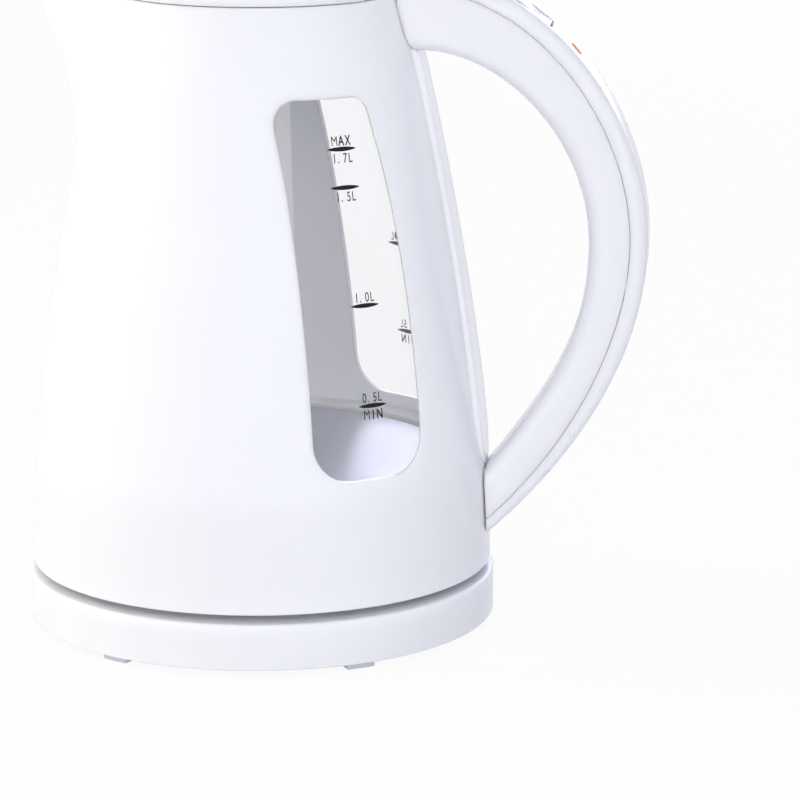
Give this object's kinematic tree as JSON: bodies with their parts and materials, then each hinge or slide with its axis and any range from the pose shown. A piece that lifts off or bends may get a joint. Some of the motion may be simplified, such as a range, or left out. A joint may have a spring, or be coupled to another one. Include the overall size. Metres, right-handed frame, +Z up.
{
  "type": "electric kettle",
  "caption": "White cordless electric kettle: conical plastic jug with side water windows, bow handle, hinged push-button lid and V spout, on a round 360 degree power base.",
  "frame": {"origin": "on the table plane under the feet, on the axis about which the jug turns on its base", "axes": "+Z up along the turning axis, +X towards the handle, -X towards the spout"},
  "size_m": [0.2174, 0.164, 0.2345],
  "materials": {
    "white_gloss": "glossy, very light cool white",
    "clear_window": "clear, polished",
    "natural_plastic": "natural, satin",
    "dark_plastic": "matt",
    "stainless": "brushed",
    "zinc_steel": "satin",
    "aluminium": "dull",
    "brass": "bright",
    "silicone": "matt",
    "foot_rubber": "matt",
    "lamp_amber": "clear amber",
    "wire_sleeve": "matt"
  },
  "bodies": {
    "power_base": {"base_top_cover": "white_gloss", "base_bottom_plate": "white_gloss", "base_socket": "white_gloss", "socket_contacts": "brass", "base_feet": "foot_rubber", "base_screws": "zinc_steel"},
    "swivel": {"swivel_ring": "natural_plastic"},
    "kettle": {"jug_body": "white_gloss", "spout": "white_gloss", "window_left": "clear_window", "window_right": "clear_window", "heater_plate": "stainless", "heat_diffuser": "aluminium", "heating_element": "zinc_steel", "heater_seal": "silicone", "heater_clamp_ring": "zinc_steel", "clamp_screws": "zinc_steel", "kettle_coupler": "dark_plastic", "coupler_contacts": "brass", "thermal_cutouts": "natural_plastic", "bottom_cover": "white_gloss", "bottom_screws": "zinc_steel", "handle_shell": "white_gloss", "handle_cover": "white_gloss", "handle_screw": "zinc_steel", "handle_wires": "wire_sleeve", "steam_seal": "silicone", "bimetal_carrier": "natural_plastic", "steam_bimetal": "stainless", "switch_housing": "dark_plastic", "indicator_lamp": "natural_plastic", "indicator_lens": "lamp_amber", "filter_frame": "white_gloss", "filter_mesh": "stainless", "lid_hinge_pin": "stainless"},
    "lid": {"lid_cap": "white_gloss", "lid_plug": "white_gloss", "lid_gasket": "silicone", "button_spring": "stainless"},
    "push_button": {"lid_button": "white_gloss"},
    "latch": {"lid_latch": "natural_plastic"},
    "rocker": {"switch_rocker": "white_gloss"}
  },
  "joints": [
    {"name": "kettle_turn", "type": "hinge", "parent": "power_base", "child": "swivel", "pos_m": [0, 0, 0], "axis": [0, 0, 1], "continuous": true},
    {"name": "kettle_lift", "type": "slide", "parent": "swivel", "child": "kettle", "axis": [0, 0, 1], "range_m": [0, 0.2]},
    {"name": "lid_hinge", "type": "hinge", "parent": "kettle", "child": "lid", "pos_m": [0.046, 0, 0.226], "axis": [0, 1, 0], "range_deg": [0, 80]},
    {"name": "button_press", "type": "slide", "parent": "lid", "child": "push_button", "axis": [0, 0, -1], "range_m": [0, 0.003], "stiffness_N_per_m": 600, "springref_m": -0.003, "deforming": ["button_spring"]},
    {"name": "latch_slide", "type": "slide", "parent": "lid", "child": "latch", "axis": [1, 0, 0], "range_m": [0, 0.003]},
    {"name": "switch_rock", "type": "hinge", "parent": "kettle", "child": "rocker", "pos_m": [0.08808, 0, 0.21456], "axis": [0, -1, 0], "range_deg": [0, 12]}
  ],
  "couplings": [
    {"joint": "latch_slide", "follows": "button_press", "ratio": 1}
  ]
}
